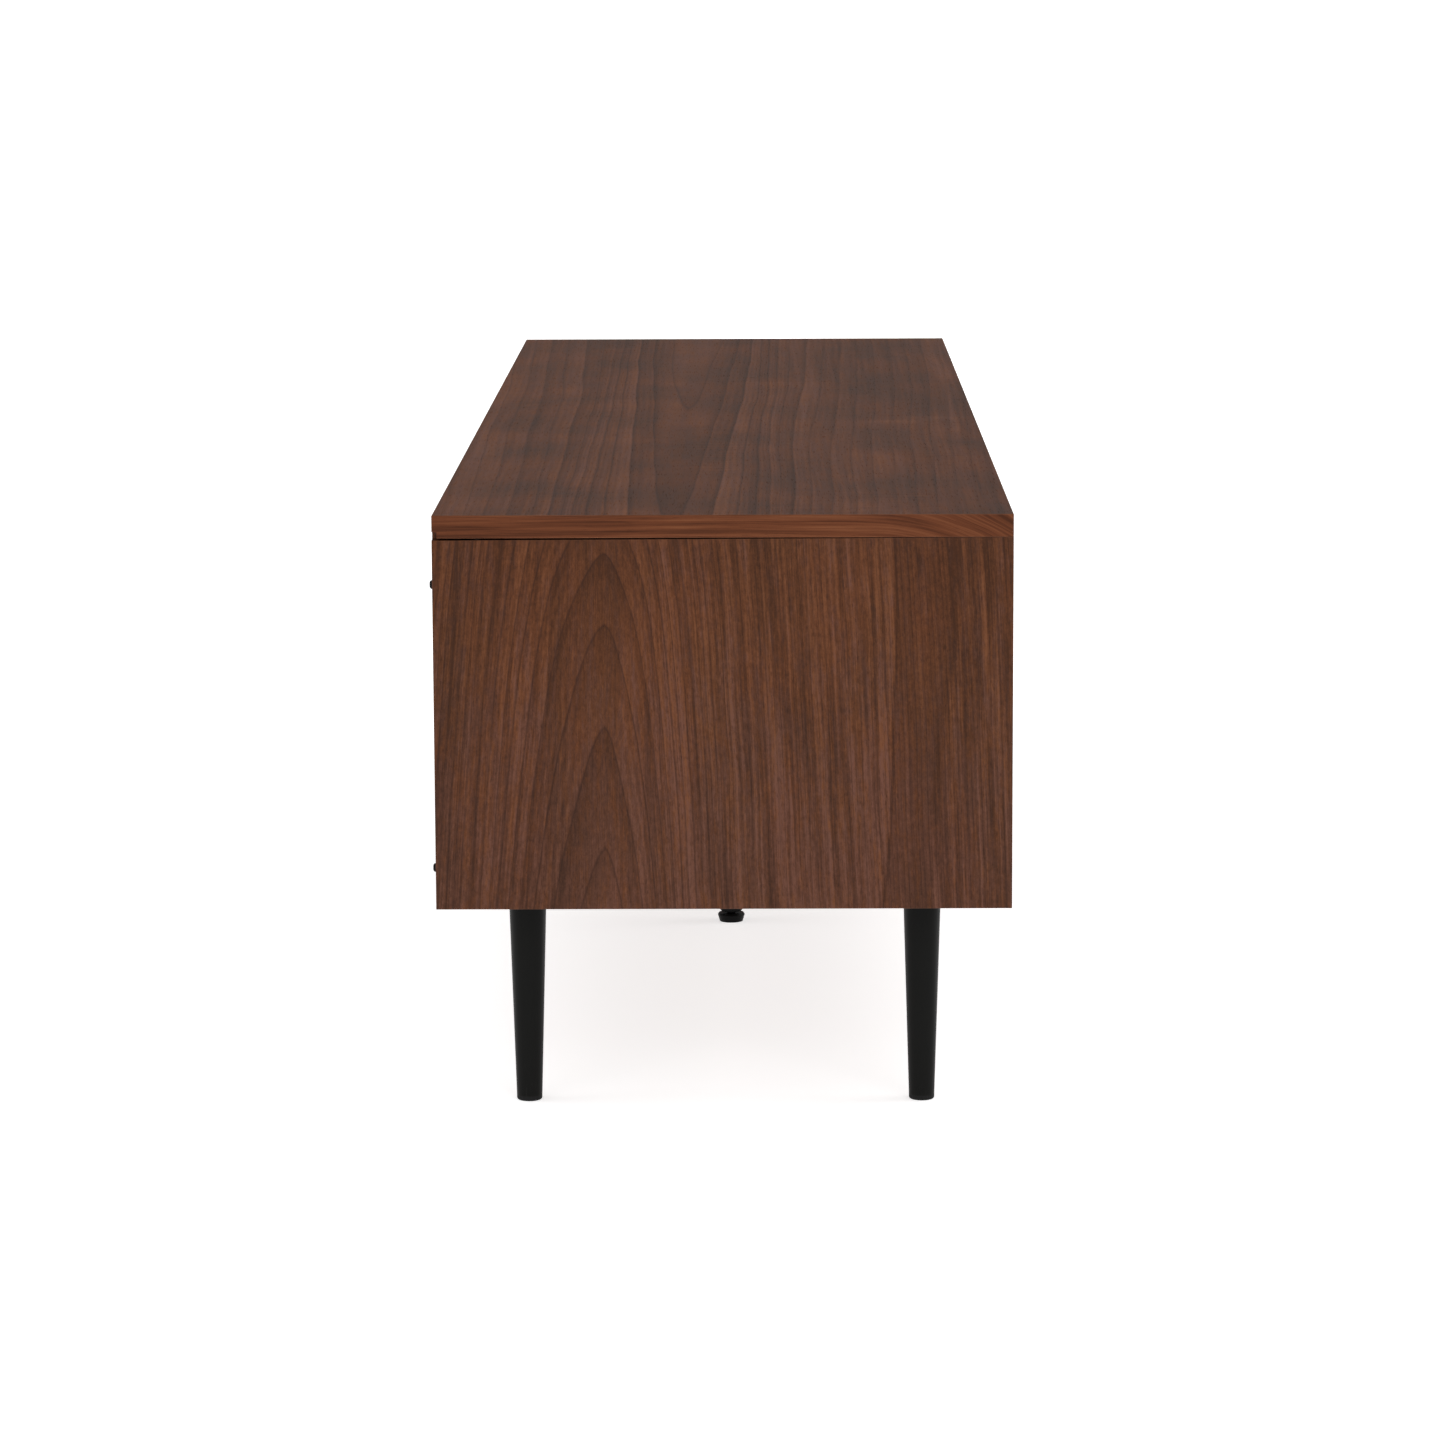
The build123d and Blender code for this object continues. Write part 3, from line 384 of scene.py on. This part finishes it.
def walnut(name, crown, quiet_band=None, marks=(), lipping=False, ior=1.22):
    """Satin walnut veneer. quiet_band holds the two edges, as (along, across) places, of a strip
    where the stripes fade. marks are (across, along, width, height, change in tone)."""
    g = Graph(name)
    place = [g.scaled(value, MM) for value in g.split(g.place.outputs["Object"])]
    across = g.subtract(place[crown.across], crown.middle)
    along = place[crown.along]
    outward = g.math("ABSOLUTE", place[crown.depth])
    depth = g.math("ABSOLUTE", g.subtract(outward, crown.depth_from))
    seed = crown.seed

    # Lines wander slowly as they run along the grain.
    board = (across, along, depth)
    wide, long, deep = SLOW_WANDER
    slow = g.noise((wide, long * crown.stretch, deep), board, 2.0, 0.45, seed)
    wide, long, deep = QUICK_WANDER
    less = math.sqrt(crown.stretch)
    quick = g.noise((wide, long * less, deep), board, 2.0, 0.5, seed + 7.3)
    wander = g.add(centred(g, slow, 2.0 * crown.wander),
                   centred(g, quick, 0.8 * crown.wander / less))
    u = g.add(across, wander)
    ring, line = ring_pattern(g, crown, u, along, depth)

    # Fibres run along the grain and lean with the rings beside the crown.
    lean = FIBRE_LEAN if crown.flank is CATHEDRAL else 0.0
    follow = g.limit(g.scaled(u, 1.0 / LEAN_WITHIN), -1.0, 1.0)
    fibre = g.add(u, g.multiply(g.multiply(along, follow), lean))
    at = (fibre, g.scaled(along, 1.0 / crown.stretch), depth)
    thin = feature(g, "fibre", at, seed)
    stripe = feature(g, "stripe", at, seed)
    band = feature(g, "band", at, seed)
    cloud = feature(g, "cloud", (u, along, depth), seed)
    mottle = feature(g, "mottle", at, seed)
    pores = g.remap(feature(g, "pore", at, seed), 0.60, 0.72)
    warm = g.add(feature(g, "warm_band", at, seed),
                 centred(g, feature(g, "warm_fleck", at, seed), 0.7))

    stripe = centred(g, stripe, STRIPE_SWING)
    stripe = g.multiply(stripe, g.remap(u, -50.0, -120.0, 1.0, 1.6))
    stripe = g.multiply(stripe, g.remap(g.math("ABSOLUTE", u), 10.0, 45.0, 0.40, 1.0))
    grain = g.scaled(g.add(stripe, centred(g, thin, FIBRE_SWING)), crown.grain)
    if quiet_band:
        grain = quietened(g, grain, place[crown.across], along, quiet_band)
    tone = g.add(MIDDLE_TONE, g.add(ring, grain))
    patches = g.add(centred(g, band, BAND_SWING), centred(g, cloud, crown.blotches))
    tone = g.add(g.add(tone, patches), centred(g, mottle, MOTTLE_SWING * crown.grain))
    if crown.ripple:
        ripple = feature(g, "ripple", board, seed)
        patch = g.remap(feature(g, "ripple_patch", board, seed), 0.4, 0.7)
        tone = g.add(tone, g.multiply(centred(g, ripple, crown.ripple), patch))
    for mark_across, mark_along, width, height, change in marks:
        spot = g.multiply(g.bell(place[crown.across], mark_across, width),
                          g.bell(place[crown.along], mark_along, height))
        tone = g.add(tone, g.scaled(spot, change))
    tone = g.limit(tone)

    color = three_tones(g, tone, WALNUT_DARK, WALNUT_MIDDLE, WALNUT_LIGHT)
    # The cooler, less warm lower part of each upright board is a painted reflection of the pale
    # floor.
    if crown.along == Z:  # upright boards are a little warmer towards the top
        warm = g.add(warm, g.remap(along, 200.0, 440.0, -0.12, 0.14))
    color = g.mix(1.0, color, g.mix(g.remap(warm, 0.25, 0.75), ROSY, GOLDEN), "MULTIPLY")
    cool = g.add(cloud, centred(g, band, 0.6))
    greying = g.remap(cool, 0.75, 0.35, crown.hue - 0.2, crown.hue + 0.3)
    color = g.mix(g.limit(greying), color, g.mix(1.0, color, GREY, "MULTIPLY"))
    color = g.mix(g.scaled(line, LINE_COVER), color, WALNUT_LINE)
    color = g.mix(g.scaled(pores, PORE_COVER * crown.grain ** 2), color, WALNUT_LINE)
    if lipping:
        color = g.mix(on_lipping(g), color, lipping_color(g, place, seed))

    # Handling has polished the edges here and there, and they are paled: partly wear, partly a
    # painted highlight along the rounded arris.
    rubbed_and_highlit = g.remap(feature(g, "rubbed_and_highlit", place, seed), 0.25, 0.60, 0.35, 1.0)
    edges = g.multiply(g.rounded_edges(), rubbed_and_highlit)
    color = g.mix(g.scaled(edges, WEAR_AND_HIGHLIGHT_COVER), color, WALNUT_WEAR_AND_HIGHLIGHT)
    fibres = g.add(g.scaled(pores, 0.12), g.scaled(thin, 0.06))
    roughness = g.add(g.scaled(cloud, 0.12, WALNUT_SATIN), fibres)
    roughness = g.subtract(roughness, g.scaled(edges, 0.08))
    relief = g.add(g.scaled(g.add(pores, g.scaled(thin, -0.35)), -crown.grain ** 2),
                   g.scaled(ring, 0.25))
    g.bump(relief, WALNUT_RELIEF)
    return g.finish(color, roughness, ior=ior)


def on_lipping(g):
    """1 on the board's end faces, where a solid strip is glued on."""
    facing = g.split(g.place.outputs["Normal"])
    return g.remap(g.math("ABSOLUTE", facing[X]), 0.55, 0.75)


BEND_LENGTH = 95.0      # mm
BEND_START = 1.2        # of those lengths in front of the board's middle
BEND_DROP = 26.0        # how far the grain sinks over the first length, mm


def lipping_color(g, place, seed):
    """A solid strip whose grain runs across the board and curves down at its front end."""
    x, y, z = place
    bend = g.limit(g.scaled(y, -1.0 / BEND_LENGTH, -BEND_START), 0.0, 2.0)
    sunk = g.add(z, g.scaled(g.multiply(bend, bend), BEND_DROP))
    sunk = g.add(sunk, centred(g, feature(g, "lipping_waves", (y, z, x), 0.0), 5.0))
    at = (y, sunk, x)
    band = centred(g, feature(g, "lipping_band", at, seed), LIPPING_BAND_SWING)
    stripe = centred(g, feature(g, "lipping_stripe", at, seed), LIPPING_STRIPE_SWING)
    fleck = g.remap(feature(g, "lipping_fleck", at, seed), 0.58, 0.75)
    tone = g.add(LIPPING_TONE, g.add(band, stripe))
    tone = g.subtract(tone, g.scaled(g.remap(y, 165.0, 222.0), 0.22))
    color = three_tones(g, tone, LIPPING_DARK, LIPPING_MIDDLE, LIPPING_LIGHT)
    return g.mix(g.scaled(fleck, FLECK_COVER), color, WALNUT_LINE)


# ---------------------------------------------------------------- other materials


PLY = 1.5  # thickness of one layer of the drawer boxes' plywood, mm


def plain_wood(name, light, dark, across, along, depth, plies=None, seed=0.0):
    """Pale wood with straight grain. plies is the axis that its layers are stacked along."""
    g = Graph(name)
    place = [g.scaled(value, MM) for value in g.split(g.place.outputs["Object"])]
    at = (place[across], place[along], place[depth])
    broad = g.noise((22.0, 260.0, 22.0), at, 3.0, 0.55, seed)
    thin = g.noise((1.2, 30.0, 1.2), at, 2.0, 0.6, seed + 2.0)
    fleck = g.remap(g.noise((0.8, 6.0, 0.8), at, 1.0, 0.5, seed + 5.0), 0.62, 0.74)
    tone = g.limit(g.add(g.scaled(broad, 0.9, -0.05), g.scaled(thin, 0.4, -0.1)))
    color = g.mix(tone, dark, light)
    color = g.mix(g.scaled(fleck, 0.25), color, dark)
    if plies is not None:
        facing = g.split(g.place.outputs["Normal"])
        on_edge = g.remap(g.math("ABSOLUTE", facing[plies]), 0.45, 0.25)
        layer = g.math("PINGPONG", place[plies], PLY)
        layers = g.mix(g.remap(layer, 0.6, 0.9), dark, light)
        color = g.mix(g.multiply(on_edge, 0.6), color, layers)
    roughness = g.add(g.scaled(broad, 0.12, 0.46), g.scaled(fleck, 0.1))
    g.bump(g.add(g.scaled(thin, 0.5), g.scaled(fleck, -1.0)), 0.00005)
    return g.finish(color, roughness, ior=1.4)


def black_satin(name, color, roughness, grain_size, bump_depth, scuffed_below=None):
    """Sprayed or moulded black with a fine skin, uneven gloss and, near the floor, scuffs."""
    g = Graph(name)
    place = [g.scaled(value, MM) for value in g.split(g.place.outputs["Object"])]
    skin = g.noise((grain_size,) * 3, place, 2.0, 0.6)
    patch = g.noise((26.0, 26.0, 60.0), place, 3.0, 0.5, 4.0)
    scratch = g.remap(g.noise((0.7, 0.7, 9.0), place, 1.0, 0.5, 8.0), 0.66, 0.74)
    shade = g.mix(g.scaled(patch, 0.6), color, tuple(1.7 * c for c in color))
    edges = g.worn_edges(0.0010)
    shade = g.mix(g.scaled(edges, 0.30), shade, tuple(3.5 * c for c in color))
    gloss = g.add(g.scaled(patch, 0.14, roughness - 0.07), g.scaled(skin, 0.06, -0.03))
    if scuffed_below:
        low = g.remap(place[2], scuffed_below, 0.0)
        scuffs = g.multiply(low, scratch)
        shade = g.mix(g.scaled(scuffs, 0.35), shade, tuple(5.0 * c for c in color))
        gloss = g.add(gloss, g.scaled(scuffs, 0.15))
    g.bump(skin, bump_depth)
    return g.finish(shade, gloss, ior=1.17)


MARK_WIDTH = 0.5     # of a hair-line mark on steel, mm
MARK_LENGTH = 40.0


def plated_steel(name, color, roughness, brushed_along=None):
    """Zinc-plated steel: cloudy plating, hair-line marks and brighter edges."""
    g = Graph(name)
    place = [g.scaled(value, MM) for value in g.split(g.place.outputs["Object"])]
    sizes = [MARK_WIDTH, MARK_WIDTH, MARK_WIDTH]
    if brushed_along is not None:
        sizes[brushed_along] = MARK_LENGTH
    hair = g.noise(sizes, place, 2.0, 0.6)
    cloud = g.noise((14.0, 14.0, 14.0), place, 3.0, 0.55, 3.0)
    shade = g.mix(cloud, tuple(0.78 * c for c in color), color)
    shade = g.mix(g.scaled(hair, 0.25), shade, tuple(0.6 * c for c in color))
    edges = g.worn_edges(0.0006)
    shade = g.mix(g.scaled(edges, 0.4), shade, tuple(min(1.0, 1.25 * c) for c in color))
    gloss = g.add(g.scaled(cloud, 0.16, roughness - 0.08), g.scaled(hair, 0.12, -0.06))
    g.bump(hair, 0.00002)
    return g.finish(shade, gloss, metallic=1.0)


# ---------------------------------------------------------------- which material goes where

HALF_LENGTH = 800.0
HALF_DEPTH = 225.0
TOP = 480.0

FAR_ARCHES = (-1400.0, -100.0, 1200.0)

walnut_materials = {
    "top_panel": walnut(
        "walnut_top",
        Crown(Y, X, Z, middle=40.0, arches=(1835.0, 935.0, 35.0, -865.0, -1765.0), flank=STRAIGHT,
              lean=(1.0, 1.0), wander=13.0, uneven=0.2, seed=21.0, rings=1.00, grain=0.40,
              stretch=3.5, blotches=1.2, ripple=0.8, hue=-0.10, depth_from=TOP),
        marks=((206.0, -330.0, 9.0, 80.0, 0.25), (-150.0, -90.0, 30.0, 16.0, 0.28),
               (-190.0, -60.0, 26.0, 18.0, 0.28), (-175.0, -420.0, 30.0, 70.0, -0.18),
               (-190.0, 0.0, 90.0, 1600.0, -0.20), (40.0, 100.0, 120.0, 1600.0, -0.06)),
        lipping=True, ior=1.13,
    ),
    "end_panel_left": walnut(
        "walnut_end_left",
        Crown(Y, Z, X, middle=92.0, arches=(125.0, 218.0, 314.0, 394.0, 450.0), seed=3.0,
              depth_from=HALF_LENGTH),
        quiet_band=(
            ((177.0, -124.0), (266.0, -130.5), (342.0, -132.0), (372.0, -133.6), (461.0, -132.3)),
            ((170.0, -163.0), (281.0, -167.0), (342.0, -174.0), (372.0, -180.0), (454.0, -182.0)),
        ),
        marks=((-152.5, 445.0, 2.3, 8.0, -0.45), (-158.0, 453.0, 4.0, 9.0, 0.22),
               (-171.7, 376.0, 1.2, 1.6, -0.60), (15.0, 300.0, 40.0, 400.0, 0.13),
               (-75.0, 300.0, 70.0, 400.0, 0.10), (120.0, 300.0, 60.0, 400.0, -0.07),
               # the band at 480 along the top edge and the band at 225 along the rear edge darken
               # the panel: painted shade
               (0.0, 480.0, 900.0, 70.0, -0.20), (-222.0, 300.0, 14.0, 400.0, 0.10),
               (225.0, 330.0, 9.0, 400.0, -0.14)),
    ),
    "end_panel_right": walnut(
        "walnut_end_right",
        Crown(Y, Z, X, middle=-60.0, arches=(150.0, 240.0, 322.0, 395.0, 455.0), seed=11.0,
              depth_from=HALF_LENGTH),
    ),
    "bottom_panel": walnut(
        "walnut_floor",
        Crown(Y, X, Z, middle=40.0, arches=FAR_ARCHES, flank=STRAIGHT, wander=10.0,
              seed=31.0, depth_from=188.0),
    ),
    "divider": walnut(
        "walnut_dividers",
        Crown(Y, Z, X, middle=-340.0, seed=41.0, depth_from=HALF_LENGTH),
    ),
    "shelf": walnut(
        "walnut_shelves",
        Crown(Y, X, Z, middle=60.0, arches=FAR_ARCHES, flank=STRAIGHT, wander=9.0,
              seed=51.0, depth_from=TOP),
    ),
    "back_panel": walnut(
        "walnut_back",
        Crown(Z, X, Y, middle=300.0, arches=FAR_ARCHES, flank=STRAIGHT, wander=9.0,
              seed=61.0, depth_from=HALF_DEPTH),
    ),
    "door_left_panel": walnut(
        "walnut_door_left",
        Crown(X, Z, Y, middle=-548.0, seed=71.0, depth_from=HALF_DEPTH),
    ),
    "door_right_panel": walnut(
        "walnut_door_right",
        Crown(X, Z, Y, middle=520.0, arches=(205.0, 290.0, 370.0, 442.0), seed=81.0,
              depth_from=HALF_DEPTH),
    ),
    "drawer_front": walnut(
        "walnut_drawer_fronts",
        Crown(X, Z, Y, middle=18.0, arches=(190.0, 270.0, 340.0, 420.0), seed=91.0,
              depth_from=HALF_DEPTH),
    ),
}
birch_sides = plain_wood("birch_sides", srgb(226, 200, 160), srgb(196, 160, 116), Z, Y, X, X)
birch_ends = plain_wood("birch_ends", srgb(226, 200, 160), srgb(196, 160, 116), Z, X, Y, Y, 4.0)
birch_bottom = plain_wood("birch_bottoms", srgb(222, 196, 158), srgb(194, 160, 118), Y, X, Z)
# The dowels get a dark brown rather than their own pale beech: painted shade, as they sit in the
# dark gap under the top.
dowel_in_painted_shade = plain_wood("dowels_in_painted_shade", srgb(52, 34, 24), srgb(34, 21, 15), Z, Y, X, seed=8.0)
leg_paint = black_satin("black_leg_paint", srgb(14, 14, 13), 0.42, 0.8, 0.00003, 60.0)
knob_paint = black_satin("black_knob_paint", srgb(14, 14, 13), 0.36, 0.8, 0.00003)
black_steel = black_satin("blackened_steel", srgb(12, 12, 12), 0.38, 0.5, 0.00002)
black_plastic = black_satin("black_plastic", srgb(24, 24, 24), 0.55, 0.4, 0.00005, 12.0)
brown_plastic = black_satin("brown_plastic", srgb(66, 46, 36), 0.5, 0.4, 0.00004)
zinc = plated_steel("zinc_steel", (0.62, 0.62, 0.60), 0.30)
zinc_rail = plated_steel("zinc_rails", (0.62, 0.62, 0.61), 0.28, Y)
cast_zinc = plated_steel("cast_zinc", (0.50, 0.50, 0.49), 0.42)


def material_for(name):
    """The material of one CAD node, found from its name."""
    if name in walnut_materials:
        return walnut_materials[name]
    for start in ("divider", "shelf"):
        if name.startswith(start + "_") and name != "shelf_pins":
            return walnut_materials[start]
    if name.endswith("_front"):
        return walnut_materials["drawer_front"]
    if name.endswith("_box_sides"):
        return birch_sides
    if name.endswith("_box_ends"):
        return birch_ends
    if name.endswith("_box_bottom"):
        return birch_bottom
    if name.endswith("_knob"):
        return knob_paint
    if "rails" in name:
        return zinc_rail
    return {
        "wood_dowels": dowel_in_painted_shade,
        # cam bolts are blackened rather than zinc: painted shade in the gap under the top, where
        # they would glint
        "cam_bolts": black_steel,
        "cam_locks": cast_zinc,
        "back_panel_screws": black_steel,
        "leg_plate_screws": black_steel,
        "leg_mounting_plates": leg_paint,
        "leg_glides": black_plastic,
        "levelling_insert": black_plastic,
        "levelling_foot": black_steel,
        "centre_support_leg": leg_paint,
        "magnetic_catches": brown_plastic,
    }.get(name, leg_paint if name.startswith("leg_") else zinc)


for name, node in nodes.items():
    chosen = material_for(name)
    if not node.material_slots:
        node.data.materials.append(chosen)
    for slot in node.material_slots:
        slot.material = chosen

# ---------------------------------------------------------------- floor, light and camera

scene = bpy.context.scene
scene.view_settings.view_transform = "Standard"
scene.view_settings.look = "None"


FLOOR_GLOW = 0.62


def floor_material():
    """Pale matt floor, lit from below like a light table so that the shadows on it stay faint.
    It is seen from above only, so the underside can be looked at."""
    g = Graph("pale_floor")
    place = g.split(g.place.outputs["Object"])
    mottle = g.noise((0.6, 0.6, 0.6), place, 3.0, 0.5)
    g.finish(g.mix(mottle, (0.76, 0.76, 0.76), (0.80, 0.80, 0.80)), 0.9, ior=1.2)
    g.shader.inputs["Emission Color"].default_value = (1.0, 1.0, 1.0, 1.0)
    g.shader.inputs["Emission Strength"].default_value = FLOOR_GLOW
    see_through = g.tree.nodes.new("ShaderNodeBsdfTransparent")
    geometry = g.tree.nodes.new("ShaderNodeNewGeometry")
    mixed = g.tree.nodes.new("ShaderNodeMixShader")
    g.feed(mixed.inputs[0], geometry.outputs["Backfacing"])
    g.feed(mixed.inputs[1], g.shader.outputs[0])
    g.feed(mixed.inputs[2], see_through.outputs[0])
    g.feed(g.tree.nodes["Material Output"].inputs[0], mixed.outputs[0])
    return g.material


FLOOR_HALF = 60.0
floor_mesh = bpy.data.meshes.new("floor")
floor_mesh.from_pydata(
    [(x, y, 0.0) for x, y in ((-1, -1), (1, -1), (1, 1), (-1, 1))], [], [(0, 1, 2, 3)]
)
floor_mesh.transform(Matrix.Scale(FLOOR_HALF, 4))
floor_mesh.materials.append(floor_material())
floor = bpy.data.objects.new("floor", floor_mesh)
scene.collection.objects.link(floor)

SKY_HORIZON = 0.30
SKY_ZENITH = 0.95
world = bpy.data.worlds.new("studio")
scene.world = world
world.use_nodes = True
sky = world.node_tree
height = sky.nodes.new("ShaderNodeSeparateXYZ")
sky.links.new(sky.nodes.new("ShaderNodeTexCoord").outputs["Generated"], height.inputs[0])
level = sky.nodes.new("ShaderNodeMapRange")
level.inputs["To Min"].default_value = SKY_HORIZON
level.inputs["To Max"].default_value = SKY_ZENITH
sky.links.new(height.outputs[2], level.inputs["Value"])
seen = sky.nodes.new("ShaderNodeMix")  # behind the floor's far edge the backdrop is white too
sky.links.new(sky.nodes.new("ShaderNodeLightPath").outputs["Is Camera Ray"], seen.inputs["Factor"])
sky.links.new(level.outputs[0], seen.inputs["A"])
seen.inputs["B"].default_value = 1.0
sky.links.new(seen.outputs["Result"], sky.nodes["Background"].inputs["Strength"])
sky.nodes["Background"].inputs["Color"].default_value = (1.0, 1.0, 1.0, 1.0)


def softbox(name, place, target, size, power, mirrored=True):
    """A square area light at a place, turned to a target. Only a mirrored one shows in gloss."""
    data = bpy.data.lights.new(name, "AREA")
    data.shape = "RECTANGLE"
    data.size, data.size_y = size
    data.energy = power
    lamp = bpy.data.objects.new(name, data)
    lamp.location = place
    lamp.rotation_mode = "QUATERNION"
    lamp.rotation_quaternion = (Vector(target) - Vector(place)).to_track_quat("-Z", "Y")
    lamp.visible_camera = False
    lamp.visible_glossy = mirrored
    scene.collection.objects.link(lamp)


softbox("key", (-6.5, -2.5, 3.0), (-0.8, 0.0, 0.3), (3.0, 3.0), 73.0)
softbox("fill", (-6.5, 3.0, 2.4), (-0.8, 0.0, 0.3), (3.0, 3.0), 49.0)
softbox("front", (0.5, -6.5, 3.2), (0.0, -0.2, 0.3), (4.0, 3.0), 120.0)
softbox("far_end", (7.0, -1.5, 3.0), (0.8, 0.0, 0.3), (3.0, 3.0), 100.0, mirrored=False)
softbox("rear", (-0.5, 6.5, 3.2), (0.0, 0.2, 0.3), (4.0, 3.0), 80.0, mirrored=False)

SENSOR_WIDTH = 36.0
FOCAL_LENGTH = 127.26
CAMERA_PLACE = (-4.717, -0.0336, 0.9485)
CAMERA_YAW = math.radians(0.50)
CAMERA_DOWN = math.radians(9.15)
CAMERA_ROLL = math.radians(-0.236)
camera_data = bpy.data.cameras.new("camera")
camera_data.sensor_width = SENSOR_WIDTH
camera_data.lens = FOCAL_LENGTH
camera = bpy.data.objects.new("camera", camera_data)
scene.collection.objects.link(camera)
scene.camera = camera
aim = Vector((
    math.cos(CAMERA_YAW) * math.cos(CAMERA_DOWN),
    math.sin(CAMERA_YAW) * math.cos(CAMERA_DOWN),
    -math.sin(CAMERA_DOWN),
))
camera.rotation_mode = "QUATERNION"
upright = aim.to_track_quat("-Z", "Y")
camera.rotation_quaternion = upright @ Matrix.Rotation(CAMERA_ROLL, 3, "Z").to_quaternion()
camera.location = CAMERA_PLACE
